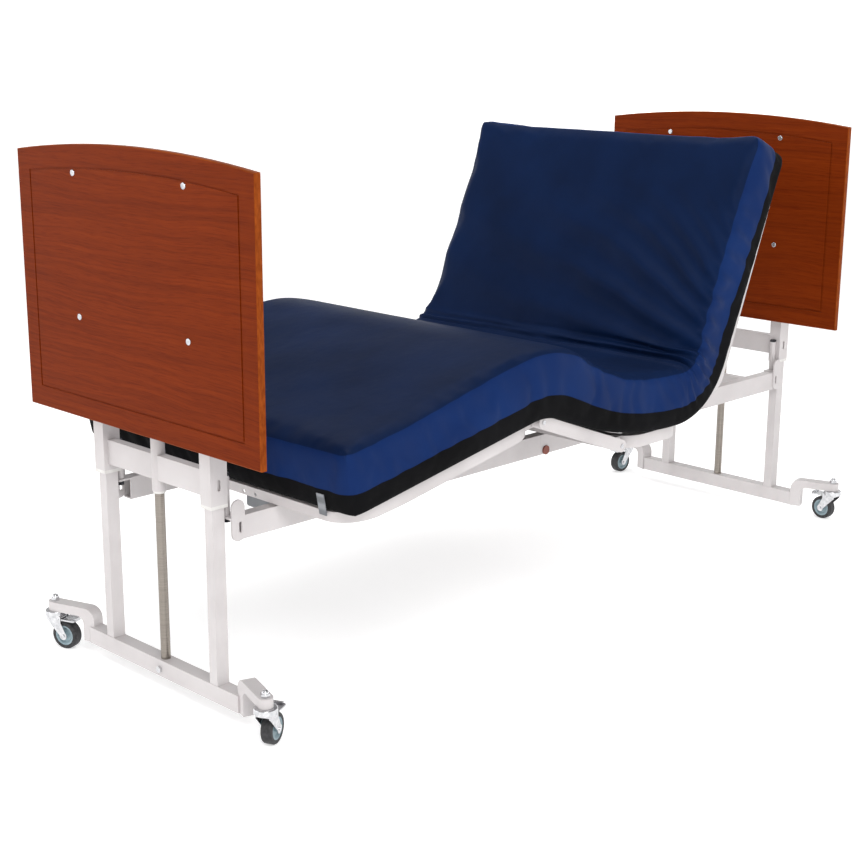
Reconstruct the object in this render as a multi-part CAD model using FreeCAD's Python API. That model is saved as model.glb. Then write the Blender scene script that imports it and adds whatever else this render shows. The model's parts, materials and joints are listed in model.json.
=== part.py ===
# Adjustable hospital bed: two telescoping end frames on casters carry a mattress platform
# with a fixed seat section and hinged back, thigh and foot sections.
# +X runs from the foot to the head, +Z is up. The origin is on the floor midway between the
# two end frames. The near side, at -Y, is the left side of a person who lies in the bed.
import FreeCAD, Part
import math
import os

V = FreeCAD.Vector
os.makedirs("parts", exist_ok=True)

# ---- end frames -------------------------------------------------------------
frame_x = 1180.0          # lift frames stand at -frame_x and +frame_x
beam_height = 43.0
beam_bottom = 38.0
beam_width = 38.0
beam_half_length = 305.0
tube_wall = 3.0
leg_y = 213.0
leg_size_x = 35.0
leg_size_y = 29.0
leg_top = 920.0
sleeve_size_x = 48.0
sleeve_size_y = 40.0
sleeve_bottom = 524.0
sleeve_top = 1280.0
slide_gap = 0.3           # between a leg and its bush
fit_gap = 0.05            # radial clearance of pins and shafts
crossbeam_bottom = 540.0
crossbeam_top = 602.0
crossbeam_depth = 24.0
post_radius = 17.0
post_bottom = 512.0
post_top = 1200.0
rod_radius = 12.0
rod_top = 800.0
bush_flange = 8.0
slot_width = 9.0
slot_length = 27.0
pivot_offset = 34.0       # pivot tube, inboard of the frame's centre plane
pivot_tube_radius = 9.0
pivot_bolt_radius = 5.0
pivot_tube_bottom = 490.0
pivot_tube_top = 585.0
motor_height = 115.0
motor_depth = 44.0
motor_half_width = 45.0

# ---- caster arms and casters ------------------------------------------------
arm_pivot_y = 318.0       # where the arm turns away from the base beam
arm_turn = 18.9           # degrees outboard
arm_reach = 119.4         # from the turn to the caster stem
arm_width = 36.0
arm_thick = 24.0
arm_top = 126.6
arm_bend = 30.0
wheel_radius = 37.5
tyre_width = 28.0
hub_radius = 27.0
caster_trail = 32.0
stem_radius = 6.0
axle_radius = 4.0
race_radius = 28.0
fork_plate = 2.5
nut_radius = 11.0

# ---- boards -----------------------------------------------------------------
board_width = 914.0
board_thick = 18.0
board_bottom = 659.5
board_corner = 1297.0
board_rise = 29.0
groove_inset = 52.5
groove_width = 5.0
groove_depth = 2.0
foot_spacer = 15.5
head_spacer = 25.5
screw_y = leg_y + 2
screw_levels = (1253.0, 911.0)
screw_radius = 4.0

# ---- mattress platform ------------------------------------------------------
rail_y = 222.5
rail_width = 31.0
rail_bottom = 431.0
rail_top = 488.0
rail_end = frame_x - 59
rail_split = -60.0
deck_half_width = 510.0
deck_bottom = rail_top + 0.5
deck_depth = 34.0
ring_width = 28.0
ring_corner = 90.0
seat_foot_end = -33.0
seat_head_end = 246.0
thigh_hinge_x = -43.5
thigh_length = 347.0
thigh_rest = 20.57        # degrees above level at rest
foot_rest = 10.5          # degrees below level at rest
foot_length = 670.0
back_hinge_x = 330.0
back_hinge_z = deck_bottom + 46.5
back_rest = 66.4
back_deck_drop = 12.0     # deck surface below the back hinge
back_start = 30.0
back_length = 740.0
back_tip_depth = 16.0
pin_radius = 6.0
lug_thick = 16.0
lug_gap = 4.0
slat_width = 32.0
slat_thick = 6.0
slat_gap = 0.2
foot_taper = 8.0           # the foot ring gets thinner towards its end
back_notch = 18.0         # mattress relief above the back hinge brackets
thigh_crank = 100.0
crank_radius = 10.0
crank_thick = 12.0
back_crank_x = 65.0
back_crank_drop = 101.0
actuator_y = 76.0
rod_bar_radius = 8.0
actuator_tube_radius = 18.0
back_rod_z = 425.0
knee_rod_z = 406.0

# ---- mattress ---------------------------------------------------------------
mattress_thick = 150.0
mattress_half_width = deck_half_width + 23
mattress_clear = 1.0      # above the deck
foot_overhang = 4.0
back_overhang = 33.0
back_fold = 35.0          # degrees cut off each side of the back hinge
back_fold_gap = 19.0
thigh_fold = 15.5
knee_gap = 0.4
knee_swell = 22.0         # the foam stands higher over the knee
strap_y = 426.0
strap_width = 25.0

hinge_z = deck_bottom + deck_depth / 2
deck_top = deck_bottom + deck_depth
beam_top = beam_bottom + beam_height
arm_angle = math.radians(arm_turn)
stem_x = frame_x + arm_reach * math.sin(arm_angle)
stem_y = arm_pivot_y + arm_reach * math.cos(arm_angle)
knee_x = thigh_hinge_x - thigh_length * math.cos(math.radians(thigh_rest))
knee_z = hinge_z + thigh_length * math.sin(math.radians(thigh_rest))


# ---- helpers ----------------------------------------------------------------
def box(x0, x1, y0, y1, z0, z1):
    return Part.makeBox(x1 - x0, y1 - y0, z1 - z0, V(x0, y0, z0))


def cyl(radius, start, end):
    axis = V(*end) - V(*start)
    return Part.makeCylinder(radius, axis.Length, V(*start), axis)


def tube(x0, x1, y0, y1, z0, z1, along, wall=tube_wall):
    """A rectangular tube, open at both ends along one axis."""
    low = [x0 + wall, y0 + wall, z0 + wall]
    high = [x1 - wall, y1 - wall, z1 - wall]
    index = "XYZ".index(along)
    low[index] = (x0, y0, z0)[index] - 1
    high[index] = (x1, y1, z1)[index] + 1
    inner = box(low[0], high[0], low[1], high[1], low[2], high[2])
    return box(x0, x1, y0, y1, z0, z1).cut(inner)


def extrude_xz(points, y0, y1):
    wire = Part.makePolygon([V(x, y0, z) for x, z in points] + [V(points[0][0], y0, points[0][1])])
    return Part.Face(wire).extrude(V(0, y1 - y0, 0))


def link(a, b, radius, y0, y1):
    """A flat plate in the XZ plane with round ends on the points a and b."""
    ends = [cyl(radius, (p[0], y0, p[1]), (p[0], y1, p[1])) for p in (a, b)]
    span = V(b[0] - a[0], 0, b[1] - a[1])
    side = V(-span.z, 0, span.x).normalize() * radius
    corners = [(a[0] + side.x, a[1] + side.z), (b[0] + side.x, b[1] + side.z),
               (b[0] - side.x, b[1] - side.z), (a[0] - side.x, a[1] - side.z)]
    return extrude_xz(corners, y0, y1).multiFuse(ends).removeSplitter()


def obround(width, length, centre, axis, depth):
    """A slot cutter that stands on end: its length is along Z and its depth along the axis."""
    half = (length - width) / 2
    x, y, z = centre
    step = V(*axis) * depth
    side = V(*axis).cross(V(0, 0, 1)) * (width / 2)
    body = Part.Face(Part.makePolygon([
        V(x, y, z - half) + side, V(x, y, z + half) + side,
        V(x, y, z + half) - side, V(x, y, z - half) - side,
        V(x, y, z - half) + side])).extrude(step)
    caps = [Part.makeCylinder(width / 2, depth, V(x, y, z + s * half), V(*axis)) for s in (-1, 1)]
    return body.multiFuse(caps)


def hexagon(across, height, base, axis):
    """A hexagonal head or nut that stands on its base point along the axis."""
    points = [V(across / math.sqrt(3) * math.cos(math.radians(60 * i)),
                across / math.sqrt(3) * math.sin(math.radians(60 * i)), 0) for i in range(7)]
    head = Part.Face(Part.makePolygon(points)).extrude(V(0, 0, height))
    head.Placement = FreeCAD.Placement(V(*base), FreeCAD.Rotation(V(0, 0, 1), V(*axis)))
    return head


def plan_plate(x0, x1, half_y, corner, z0, z1):
    """A plate with corners rounded in plan."""
    plate = box(x0, x1, -half_y, half_y, z0, z1)
    uprights = [e for e in plate.Edges if abs(e.tangentAt(e.FirstParameter).z) > 0.99]
    return plate.makeFillet(min(corner, (x1 - x0) / 2 - 1), uprights)


def deck_ring(x0, x1, z0=deck_bottom, depth=deck_depth):
    """A deck section's frame: a channel bent into a ring with round corners, open below."""
    def band(inset_out, inset_in, low, high):
        outer = plan_plate(x0 + inset_out, x1 - inset_out, deck_half_width - inset_out,
                           ring_corner - inset_out, low, high)
        inner = plan_plate(x0 + inset_in, x1 - inset_in, deck_half_width - inset_in,
                           ring_corner - inset_in, low - 1, high + 1)
        return outer.cut(inner)
    hollow = band(tube_wall, ring_width - tube_wall, z0 - 1, z0 + depth - tube_wall)
    return band(0, ring_width, z0, z0 + depth).cut(hollow)


def slats(x0, x1, count, top=deck_top):
    """Slats across a section, evenly spaced between its end tubes."""
    step = (x1 - x0) / (count + 1)
    bend = ring_corner - ring_width
    bars = []
    for i in range(count):
        middle = x0 + step * (i + 1)
        edge = min(middle - x0, x1 - middle) - slat_width / 2
        inset = bend - math.sqrt(bend ** 2 - (bend - edge) ** 2) if edge < bend else 0.0
        half = deck_half_width - ring_width - slat_gap - inset
        bars.append(box(middle - slat_width / 2, middle + slat_width / 2, -half, half, top - slat_thick, top))
    return bars


def turned(shape, angle, at, reverse=False):
    """Turn a section, drawn from its hinge at the origin, to its rest angle at the hinge."""
    shape = shape.copy()
    if reverse:
        shape.rotate(V(0, 0, 0), V(0, 0, 1), 180)
    shape.rotate(V(0, 0, 0), V(0, 1, 0), angle)
    shape.translate(V(*at))
    return shape


def group(shapes):
    return Part.makeCompound(shapes)


nodes = {}


def both_ends(name, shape):
    """The head frame is the foot frame turned half way round."""
    nodes["foot_" + name] = shape
    turned_shape = shape.copy()
    turned_shape.rotate(V(0, 0, 0), V(0, 0, 1), 180)
    nodes["head_" + name] = turned_shape


# ---- base frames ------------------------------------------------------------
def caster_arm(side):
    """Riser and arm from the end of the base beam to the caster stem."""
    low = arm_top - arm_thick
    half = arm_thick / 2 + 5.5
    inner = arm_bend - 12
    profile = [V(-half, 0, beam_bottom), V(half, 0, beam_bottom), V(half, 0, low - inner),
               V(half + inner, 0, low), V(arm_reach, 0, low), V(arm_reach, 0, arm_top),
               V(-half + arm_bend, 0, arm_top), V(-half, 0, arm_top - arm_bend)]
    bow = math.sqrt(0.5)
    inner_mid = V(half + inner - inner * bow, 0, low - inner + inner * bow)
    outer_mid = V(-half + arm_bend - arm_bend * bow, 0, arm_top - arm_bend + arm_bend * bow)
    edges = [Part.LineSegment(profile[0], profile[1]).toShape(),
             Part.LineSegment(profile[1], profile[2]).toShape(),
             Part.Arc(profile[2], inner_mid, profile[3]).toShape(),
             Part.LineSegment(profile[3], profile[4]).toShape(),
             Part.LineSegment(profile[4], profile[5]).toShape(),
             Part.LineSegment(profile[5], profile[6]).toShape(),
             Part.Arc(profile[6], outer_mid, profile[7]).toShape(),
             Part.LineSegment(profile[7], profile[0]).toShape()]
    bar = Part.Face(Part.Wire(edges)).extrude(V(0, arm_width, 0))
    bar.translate(V(0, -arm_width / 2, 0))
    arm = bar.fuse(cyl(arm_width / 2, (arm_reach, 0, low), (arm_reach, 0, arm_top)))
    arm = arm.cut(cyl(stem_radius + fit_gap, (arm_reach, 0, low - 1), (arm_reach, 0, arm_top + 1)))
    arm.rotate(V(0, 0, 0), V(0, 0, 1), side * (90 + arm_turn))
    arm.translate(V(-frame_x, side * arm_pivot_y, 0))
    return arm


def base_frame():
    beam = box(-frame_x - beam_width / 2, -frame_x + beam_width / 2, -beam_half_length,
               beam_half_length, beam_bottom, beam_top)
    pieces = [caster_arm(-1), caster_arm(1)]
    for side in (-1, 1):
        pieces.append(box(-frame_x - leg_size_x / 2, -frame_x + leg_size_x / 2,
                          side * leg_y - leg_size_y / 2, side * leg_y + leg_size_y / 2,
                          beam_top - 1, leg_top))
    frame = beam.multiFuse(pieces)
    hollow = box(-frame_x - beam_width / 2 + tube_wall, -frame_x + beam_width / 2 - tube_wall,
                 -beam_half_length + 15, beam_half_length - 15, beam_bottom - 1, beam_top - tube_wall)
    frame = frame.cut(hollow)
    for side in (-1, 1):
        frame = frame.cut(box(-frame_x - leg_size_x / 2 + tube_wall, -frame_x + leg_size_x / 2 - tube_wall,
                              side * leg_y - leg_size_y / 2 + tube_wall,
                              side * leg_y + leg_size_y / 2 - tube_wall, beam_top + 1, leg_top + 1))
    return frame.removeSplitter()


def rod_seat_bolt():
    """Hexagon bolt through the base beam that pins the rod's foot, seen on the beam's face."""
    face = -frame_x - beam_width / 2
    return hexagon(16, 6, (face, 0, beam_bottom + 19), (-1, 0, 0))


def acorn_nut(side):
    base = hexagon(2 * nut_radius - 2, 9, (-stem_x, side * stem_y, arm_top), (0, 0, 1))
    dome = Part.makeSphere(nut_radius - 2, V(-stem_x, side * stem_y, arm_top + 9))
    dome = dome.common(box(-stem_x - 20, -stem_x + 20, side * stem_y - 20, side * stem_y + 20,
                           arm_top + 8, arm_top + 40))
    bore = cyl(stem_radius + fit_gap, (-stem_x, side * stem_y, arm_top - 1),
               (-stem_x, side * stem_y, arm_top + 8))
    return base.fuse(dome).removeSplitter().cut(bore)


both_ends("base_frame", base_frame())
both_ends("lift_rod", cyl(rod_radius, (-frame_x, 0, beam_top), (-frame_x, 0, rod_top)))
both_ends("base_bolts", group([rod_seat_bolt(), acorn_nut(-1), acorn_nut(1)]))


# ---- sleeve frames ----------------------------------------------------------
def sleeve_frame():
    pieces = []
    for side in (-1, 1):
        y = side * leg_y
        sleeve = tube(-frame_x - sleeve_size_x / 2, -frame_x + sleeve_size_x / 2, y - sleeve_size_y / 2,
                      y + sleeve_size_y / 2, sleeve_bottom, sleeve_top, "Z")
        slot = obround(slot_width, slot_length, (-frame_x, y, (crossbeam_bottom + crossbeam_top) / 2),
                       (0, side, 0), sleeve_size_y)
        pieces.append(sleeve.cut(slot))
        lug = cyl(pivot_tube_radius, (-frame_x + pivot_offset, y, pivot_tube_bottom),
                  (-frame_x + pivot_offset, y, pivot_tube_top))
        web = box(-frame_x + sleeve_size_x / 2 - 1, -frame_x + pivot_offset, y - 5, y + 5,
                  crossbeam_bottom, pivot_tube_top)
        bore = cyl(pivot_bolt_radius + fit_gap, (-frame_x + pivot_offset, y, pivot_tube_bottom - 1),
                   (-frame_x + pivot_offset, y, pivot_tube_top + 1))
        pieces.append(lug.fuse(web).cut(bore))
    inner = leg_y - sleeve_size_y / 2 + 1
    beam = box(-frame_x - crossbeam_depth / 2, -frame_x + crossbeam_depth / 2, -inner, inner,
               crossbeam_bottom, crossbeam_top)
    post = cyl(post_radius, (-frame_x, 0, post_bottom), (-frame_x, 0, post_top))
    frame = pieces[0].multiFuse(pieces[1:] + [beam, post])
    bore = cyl(rod_radius + 2, (-frame_x, 0, post_bottom - 1), (-frame_x, 0, post_top - 5))
    return frame.cut(bore).removeSplitter()


def bush(side):
    """Plastic bush at the mouth of a sleeve, with a flange below it."""
    y = side * leg_y
    outer_x = sleeve_size_x / 2 - tube_wall - slide_gap
    outer_y = sleeve_size_y / 2 - tube_wall - slide_gap
    neck = box(-frame_x - outer_x, -frame_x + outer_x, y - outer_y, y + outer_y,
               sleeve_bottom - 1, sleeve_bottom + 14)
    flange = box(-frame_x - sleeve_size_x / 2, -frame_x + sleeve_size_x / 2, y - sleeve_size_y / 2,
                 y + sleeve_size_y / 2, sleeve_bottom - bush_flange, sleeve_bottom)
    inner_x = leg_size_x / 2 + slide_gap
    inner_y = leg_size_y / 2 + slide_gap
    way = box(-frame_x - inner_x, -frame_x + inner_x, y - inner_y, y + inner_y,
              sleeve_bottom - 40, sleeve_bottom + 40)
    return neck.fuse(flange).cut(way).removeSplitter()


def rod_seal():
    seal = cyl(post_radius - 2, (-frame_x, 0, post_bottom - 6), (-frame_x, 0, post_bottom))
    seal = seal.fuse(cyl(rod_radius + 1.8, (-frame_x, 0, post_bottom - 1), (-frame_x, 0, post_bottom + 12)))
    way = cyl(rod_radius + fit_gap, (-frame_x, 0, post_bottom - 20), (-frame_x, 0, post_bottom + 40))
    return seal.cut(way).removeSplitter()


def lift_motor():
    """Housing clamped to the centre post, on the side away from the board."""
    x0 = -frame_x + post_radius / 2
    body = box(x0, -frame_x + post_radius + motor_depth, -motor_half_width, motor_half_width,
               post_top - motor_height, post_top)
    long_edges = [e for e in body.Edges if e.BoundBox.XMin > x0 + 1]
    body = body.makeFillet(6, long_edges)
    return body.cut(cyl(post_radius + fit_gap, (-frame_x, 0, post_bottom), (-frame_x, 0, post_top + 1)))


def pivot_bolts():
    bolts = []
    for side in (-1, 1):
        x, y = -frame_x + pivot_offset, side * leg_y
        shank = cyl(pivot_bolt_radius, (x, y, pivot_tube_bottom - 17), (x, y, pivot_tube_top + 1))
        head = hexagon(17, 7, (x, y, pivot_tube_top), (0, 0, 1))
        nut = hexagon(17, 11, (x, y, pivot_tube_bottom - 16), (0, 0, 1))
        bolts.append(shank.multiFuse([head, nut]).removeSplitter())
    return group(bolts)


both_ends("sleeve_frame", sleeve_frame())
both_ends("bushes", group([bush(-1), bush(1), rod_seal()]))
nodes["foot_lift_motor"] = lift_motor()
nodes["head_lift_motor"] = lift_motor()
nodes["head_lift_motor"].translate(V(2 * frame_x, 0, 0))
both_ends("pivot_bolts", pivot_bolts())


# ---- boards -----------------------------------------------------------------
def board_outline(inset):
    """Face in the YZ plane at x = 0: straight sides and bottom, and an arched top."""
    half = board_width / 2
    radius = (half * half + board_rise * board_rise) / (2 * board_rise)
    centre_z = board_corner + board_rise - radius
    edge_y = half - inset
    edge_z = centre_z + math.sqrt((radius - inset) ** 2 - edge_y ** 2)
    low = board_bottom + inset
    corners = [V(0, -edge_y, edge_z), V(0, -edge_y, low), V(0, edge_y, low), V(0, edge_y, edge_z)]
    crown = V(0, 0, centre_z + radius - inset)
    edges = [Part.LineSegment(corners[i], corners[i + 1]).toShape() for i in range(3)]
    edges.append(Part.Arc(corners[3], crown, corners[0]).toShape())
    return Part.Face(Part.Wire(edges))


def board(x0):
    """Veneered board with eased edges, a routed line on both faces and its screw holes."""
    panel = board_outline(0).extrude(V(board_thick, 0, 0))
    panel = panel.makeFillet(3, [e for e in panel.Edges if abs(e.tangentAt(e.FirstParameter).x) < 0.5])
    band = board_outline(groove_inset).extrude(V(groove_depth, 0, 0))
    band = band.cut(board_outline(groove_inset + groove_width).extrude(V(groove_depth, 0, 0)))
    far_band = band.copy()
    far_band.translate(V(board_thick - groove_depth, 0, 0))
    panel = panel.cut(band).cut(far_band)
    panel.translate(V(x0, 0, 0))
    for y in (-screw_y, screw_y):
        for z in screw_levels:
            panel = panel.cut(cyl(screw_radius + fit_gap, (x0 - 1, y, z), (x0 + board_thick + 1, y, z)))
    return panel


def board_screws(x0, spacer):
    """Screws with domed heads on the board's -X face, and spacers behind the board."""
    screws = []
    for y in (-screw_y, screw_y):
        for z in screw_levels:
            head = cyl(8, (x0 - 3, y, z), (x0, y, z))
            head = head.makeFillet(2, [e for e in head.Edges if e.BoundBox.XMax < x0 - 1])
            shank = cyl(screw_radius, (x0 - 1, y, z), (x0 + board_thick + spacer, y, z))
            screws.append(head.fuse(shank).removeSplitter())
            ring = cyl(11, (x0 + board_thick, y, z), (x0 + board_thick + spacer, y, z))
            screws.append(ring.cut(cyl(screw_radius + fit_gap, (x0, y, z), (x0 + 100, y, z))))
    return group(screws)


sleeve_face = frame_x + sleeve_size_x / 2
footboard_x = -sleeve_face - foot_spacer - board_thick
headboard_x = frame_x - sleeve_size_x / 2 - head_spacer - board_thick
nodes["footboard"] = board(footboard_x)
nodes["headboard"] = board(headboard_x)
nodes["foot_board_screws"] = board_screws(footboard_x, foot_spacer)
nodes["head_board_screws"] = board_screws(headboard_x, head_spacer)


# ---- side rails and what joins them -----------------------------------------
def side_rail(side):
    """Two tubes that meet at the middle over an inner splice, as the bed parts for transport."""
    y0, y1 = side * rail_y - rail_width / 2, side * rail_y + rail_width / 2
    foot_half = tube(-rail_end, rail_split - 0.2, y0, y1, rail_bottom, rail_top, "X")
    head_half = tube(rail_split + 0.2, rail_end, y0, y1, rail_bottom, rail_top, "X")
    inset = tube_wall + slide_gap
    splice = box(rail_split - 120, rail_split + 120, y0 + inset, y1 - inset,
                 rail_bottom + inset, rail_top - inset)
    splice = splice.cut(box(rail_split - 121, rail_split + 121, y0 + inset + 3, y1 - inset - 3,
                            rail_bottom + inset + 3, rail_top - inset - 3))
    outer = side * (rail_y + rail_width / 2)
    way = cyl(8 + fit_gap, (rail_split + 22, outer - side * 8, 442), (rail_split + 22, outer + side, 442))
    return group([foot_half, head_half.cut(way), splice.cut(way)])


def rail_ear(end, side):
    """Bracket on a rail's end: an upright plate with a slot, and a tongue for the pivot bolt."""
    face = side * (rail_y + rail_width / 2)
    outer = face + side * 5
    y0, y1 = min(face, outer), max(face, outer)
    x = end * (frame_x - 46)
    plate = box(x - 19, x + 19, y0, y1, 449, 511)
    plate = plate.multiFuse([cyl(19, (x, y0, z), (x, y1, z)) for z in (449, 511)])
    plate = plate.cut(obround(slot_width, slot_length, (x - end * 6, face - side * 5, 463), (0, side, 0), 20))
    pivot = (end * (frame_x - pivot_offset), side * leg_y)
    t0, t1 = sorted((side * (leg_y - 14), outer))
    x0, x1 = sorted((x - end * 12, x + end * 24))
    tongue = box(x0, x1, t0, t1, pivot_tube_bottom - 4.9, pivot_tube_bottom - 0.1)
    way = cyl(pivot_bolt_radius + fit_gap, (*pivot, pivot_tube_bottom - 10), (*pivot, pivot_tube_bottom + 5))
    return plate.fuse(tongue).cut(way).removeSplitter()


def rail_plug(side):
    """Plastic plug in the hole of the splice latch."""
    outer = side * (rail_y + rail_width / 2)
    stem = cyl(8, (rail_split + 22, outer - side * 6, 442), (rail_split + 22, outer, 442))
    cap = cyl(13, (rail_split + 22, outer, 442), (rail_split + 22, outer + side * 4, 442))
    return stem.fuse(cap).removeSplitter()


cross_positions = (-800.0, -440.0, -150.0, 165.0, 1000.0)
cross_bottom = 450.0
cross_top = 484.0
cross_half = rail_y - rail_width / 2 - 0.1
nodes["left_side_rail"] = side_rail(-1)
nodes["right_side_rail"] = side_rail(1)
nodes["rail_end_ears"] = group([rail_ear(e, s) for e in (-1, 1) for s in (-1, 1)])
nodes["rail_plugs"] = group([rail_plug(-1), rail_plug(1)])
nodes["cross_members"] = group([tube(x - 15, x + 15, -cross_half, cross_half, cross_bottom, cross_top, "Y")
                                for x in cross_positions])

# ---- seat section and hinges ------------------------------------------------
lug_outer = deck_half_width - ring_width - lug_gap
lug_inner = lug_outer - lug_thick
bracket_y = rail_y + 11.5
bracket_thick = 12.0
stand_y = rail_y - 8.5
pin_out = deck_half_width + 2


def seat_frame():
    """The fixed ring on the rails, with lugs at its foot end for the thigh section."""
    pieces = []
    for side in (-1, 1):
        y0, y1 = sorted((side * lug_inner, side * lug_outer))
        inner = (seat_foot_end + ring_corner * 0.6, hinge_z)
        lug = link((thigh_hinge_x, hinge_z), inner, deck_depth / 2 - 1, y0, y1)
        pieces.append(lug)
    frame = deck_ring(seat_foot_end, seat_head_end).multiFuse(pieces)
    return frame.cut(cyl(pin_radius + fit_gap, (thigh_hinge_x, -pin_out, hinge_z), (thigh_hinge_x, pin_out, hinge_z)))


def hinge_stand(side):
    """Upright on a side rail that holds the back section's hinge pin."""
    y0, y1 = sorted((side * stand_y, side * (stand_y + 16)))
    stand = link((back_hinge_x, rail_top + 16), (back_hinge_x, back_hinge_z), 10, y0, y1)
    foot = box(back_hinge_x - 22, back_hinge_x + 22, y0, y1, rail_top, rail_top + 12)
    stand = stand.common(box(0, 600, -600, 600, rail_top, 700)).fuse(foot)
    return stand.cut(cyl(pin_radius + fit_gap, (back_hinge_x, -600, back_hinge_z),
                         (back_hinge_x, 600, back_hinge_z))).removeSplitter()


def hinge_pins(x, z, y_start, y_end):
    return [cyl(pin_radius, (x, s * y_start, z), (x, s * y_end, z)) for s in (-1, 1)]


nodes["seat_frame"] = seat_frame()
nodes["seat_slats"] = group(slats(seat_foot_end + ring_width, seat_head_end - ring_width, 3))
nodes["back_hinge_stands"] = group([hinge_stand(-1), hinge_stand(1)])
nodes["deck_hinge_pins"] = group(hinge_pins(thigh_hinge_x, hinge_z, lug_inner - 2, pin_out)
                                 + hinge_pins(back_hinge_x, back_hinge_z, stand_y - 3,
                                              bracket_y + bracket_thick + 3))

# ---- thigh section ----------------------------------------------------------
thigh_place = (thigh_hinge_x, 0, hinge_z)
foot_place = (knee_x, 0, knee_z)


def thigh_frame():
    """Two side bars with round ends on their hinge pins, two cross tubes and the lift crank."""
    half = deck_depth / 2
    pieces = []
    for side in (-1, 1):
        y0, y1 = sorted((side * (deck_half_width - ring_width), side * deck_half_width))
        pieces.append(link((0, 0), (thigh_length, 0), half, y0, y1))
    for x in (60, thigh_length - 60):
        bar = box(x - 15, x + 15, -deck_half_width + 5, deck_half_width - 5, -half, half - slat_thick)
        channel = box(x - 15 + tube_wall, x + 15 - tube_wall, -deck_half_width, deck_half_width,
                      -half - 1, half - slat_thick - tube_wall)
        pieces.append(bar.cut(channel))
    frame = pieces[0].multiFuse(pieces[1:])
    for x in (0, thigh_length):
        frame = frame.cut(cyl(pin_radius + fit_gap, (x, -pin_out, 0), (x, pin_out, 0)))
    return turned(frame.removeSplitter(), thigh_rest, thigh_place, reverse=True)


def thigh_crank_plate():
    """Cranked arm below the thigh hinge: its tip is straight below the hinge at rest."""
    tip = (thigh_hinge_x, hinge_z - thigh_crank)
    angle = math.radians(thigh_rest)
    tube_at = (thigh_hinge_x - 60 * math.cos(angle) + 8 * math.sin(angle),
               hinge_z + 60 * math.sin(angle) - 8 * math.cos(angle))
    y0 = -actuator_y + rod_bar_radius + 2
    y1 = y0 + crank_thick
    elbow = (thigh_hinge_x - 31.5, hinge_z - 36)
    return link(tube_at, elbow, crank_radius, y0, y1).fuse(link(elbow, tip, crank_radius, y0, y1))


nodes["thigh_frame"] = thigh_frame().fuse(thigh_crank_plate()).removeSplitter()
thigh_slats = slats(85, thigh_length - 85, 3, deck_depth / 2)
nodes["thigh_slats"] = group([turned(s, thigh_rest, thigh_place, reverse=True) for s in thigh_slats])
nodes["knee_pins"] = group(hinge_pins(knee_x, knee_z, lug_inner - 2, pin_out))


# ---- foot section -----------------------------------------------------------
foot_bar_holes = (-130.0, -173.0)


def foot_frame():
    """Ring of the foot section, with lugs on the knee pins and holes for width adjustment."""
    half = deck_depth / 2
    start = 18.0
    ring = deck_ring(start, foot_length, -half)
    pieces = []
    for side in (-1, 1):
        y0, y1 = sorted((side * lug_inner, side * lug_outer))
        pieces.append(link((0, 0), (start + ring_corner * 0.6, 0), half - 1, y0, y1))
    taper = extrude_xz([(foot_length - 170, -half), (foot_length + 5, foot_taper - half),
                        (foot_length + 5, -half - 5), (foot_length - 170, -half - 5)], -pin_out, pin_out)
    frame = ring.cut(taper).multiFuse(pieces)
    frame = frame.cut(cyl(pin_radius + fit_gap, (0, -pin_out, 0), (0, pin_out, 0)))
    frame = turned(frame, -foot_rest, foot_place, reverse=True)
    end_x = knee_x - foot_length * math.cos(math.radians(foot_rest))
    end_z = knee_z - foot_length * math.sin(math.radians(foot_rest))
    for y in foot_bar_holes:
        frame = frame.cut(cyl(5, (end_x - 30, y, end_z), (end_x + 12, y, end_z)))
    return frame


nodes["foot_frame"] = foot_frame()
foot_slats = slats(18 + ring_width, foot_length - ring_width, 6, deck_depth / 2)
nodes["foot_slats"] = group([turned(s, -foot_rest, foot_place, reverse=True) for s in foot_slats])

# ---- back section -----------------------------------------------------------
back_place = (back_hinge_x, 0, back_hinge_z)


def back_frame():
    """Ring of the back section, thinner towards its top, with hinge brackets."""
    top = -back_deck_drop
    low = top - deck_depth
    ring = deck_ring(back_start, back_length, low)
    taper = extrude_xz([(back_start + 60, low), (back_length + 5, top - back_tip_depth),
                        (back_length + 5, low - 5), (back_start + 60, low - 5)], -pin_out, pin_out)
    ring = ring.cut(taper)
    pieces = []
    for side in (-1, 1):
        y0, y1 = sorted((side * bracket_y, side * (bracket_y + bracket_thick)))
        pieces.append(link((0, 0), (back_start + 14, low + 16), 10, y0, y1))
    frame = ring.multiFuse(pieces)
    return turned(frame.cut(cyl(pin_radius + fit_gap, (0, -300, 0), (0, 300, 0))), -back_rest, back_place)


def back_crank_plate():
    angle = math.radians(back_rest)
    s, n = back_start + 14, -back_deck_drop - deck_depth / 2
    tube_at = (back_hinge_x + s * math.cos(angle) - n * math.sin(angle),
               back_hinge_z + s * math.sin(angle) + n * math.cos(angle))
    tip = (back_hinge_x + back_crank_x, back_hinge_z - back_crank_drop)
    y1 = actuator_y - rod_bar_radius - 2
    plate = link(tube_at, (back_hinge_x, back_hinge_z), crank_radius, y1 - crank_thick, y1)
    return plate.fuse(link((back_hinge_x, back_hinge_z), tip, crank_radius, y1 - crank_thick, y1))


nodes["back_frame"] = back_frame().fuse(back_crank_plate()).removeSplitter()
back_slats = slats(back_start + ring_width, back_length - ring_width, 7, -back_deck_drop)
nodes["back_slats"] = group([turned(s, -back_rest, back_place) for s in back_slats])


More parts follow.
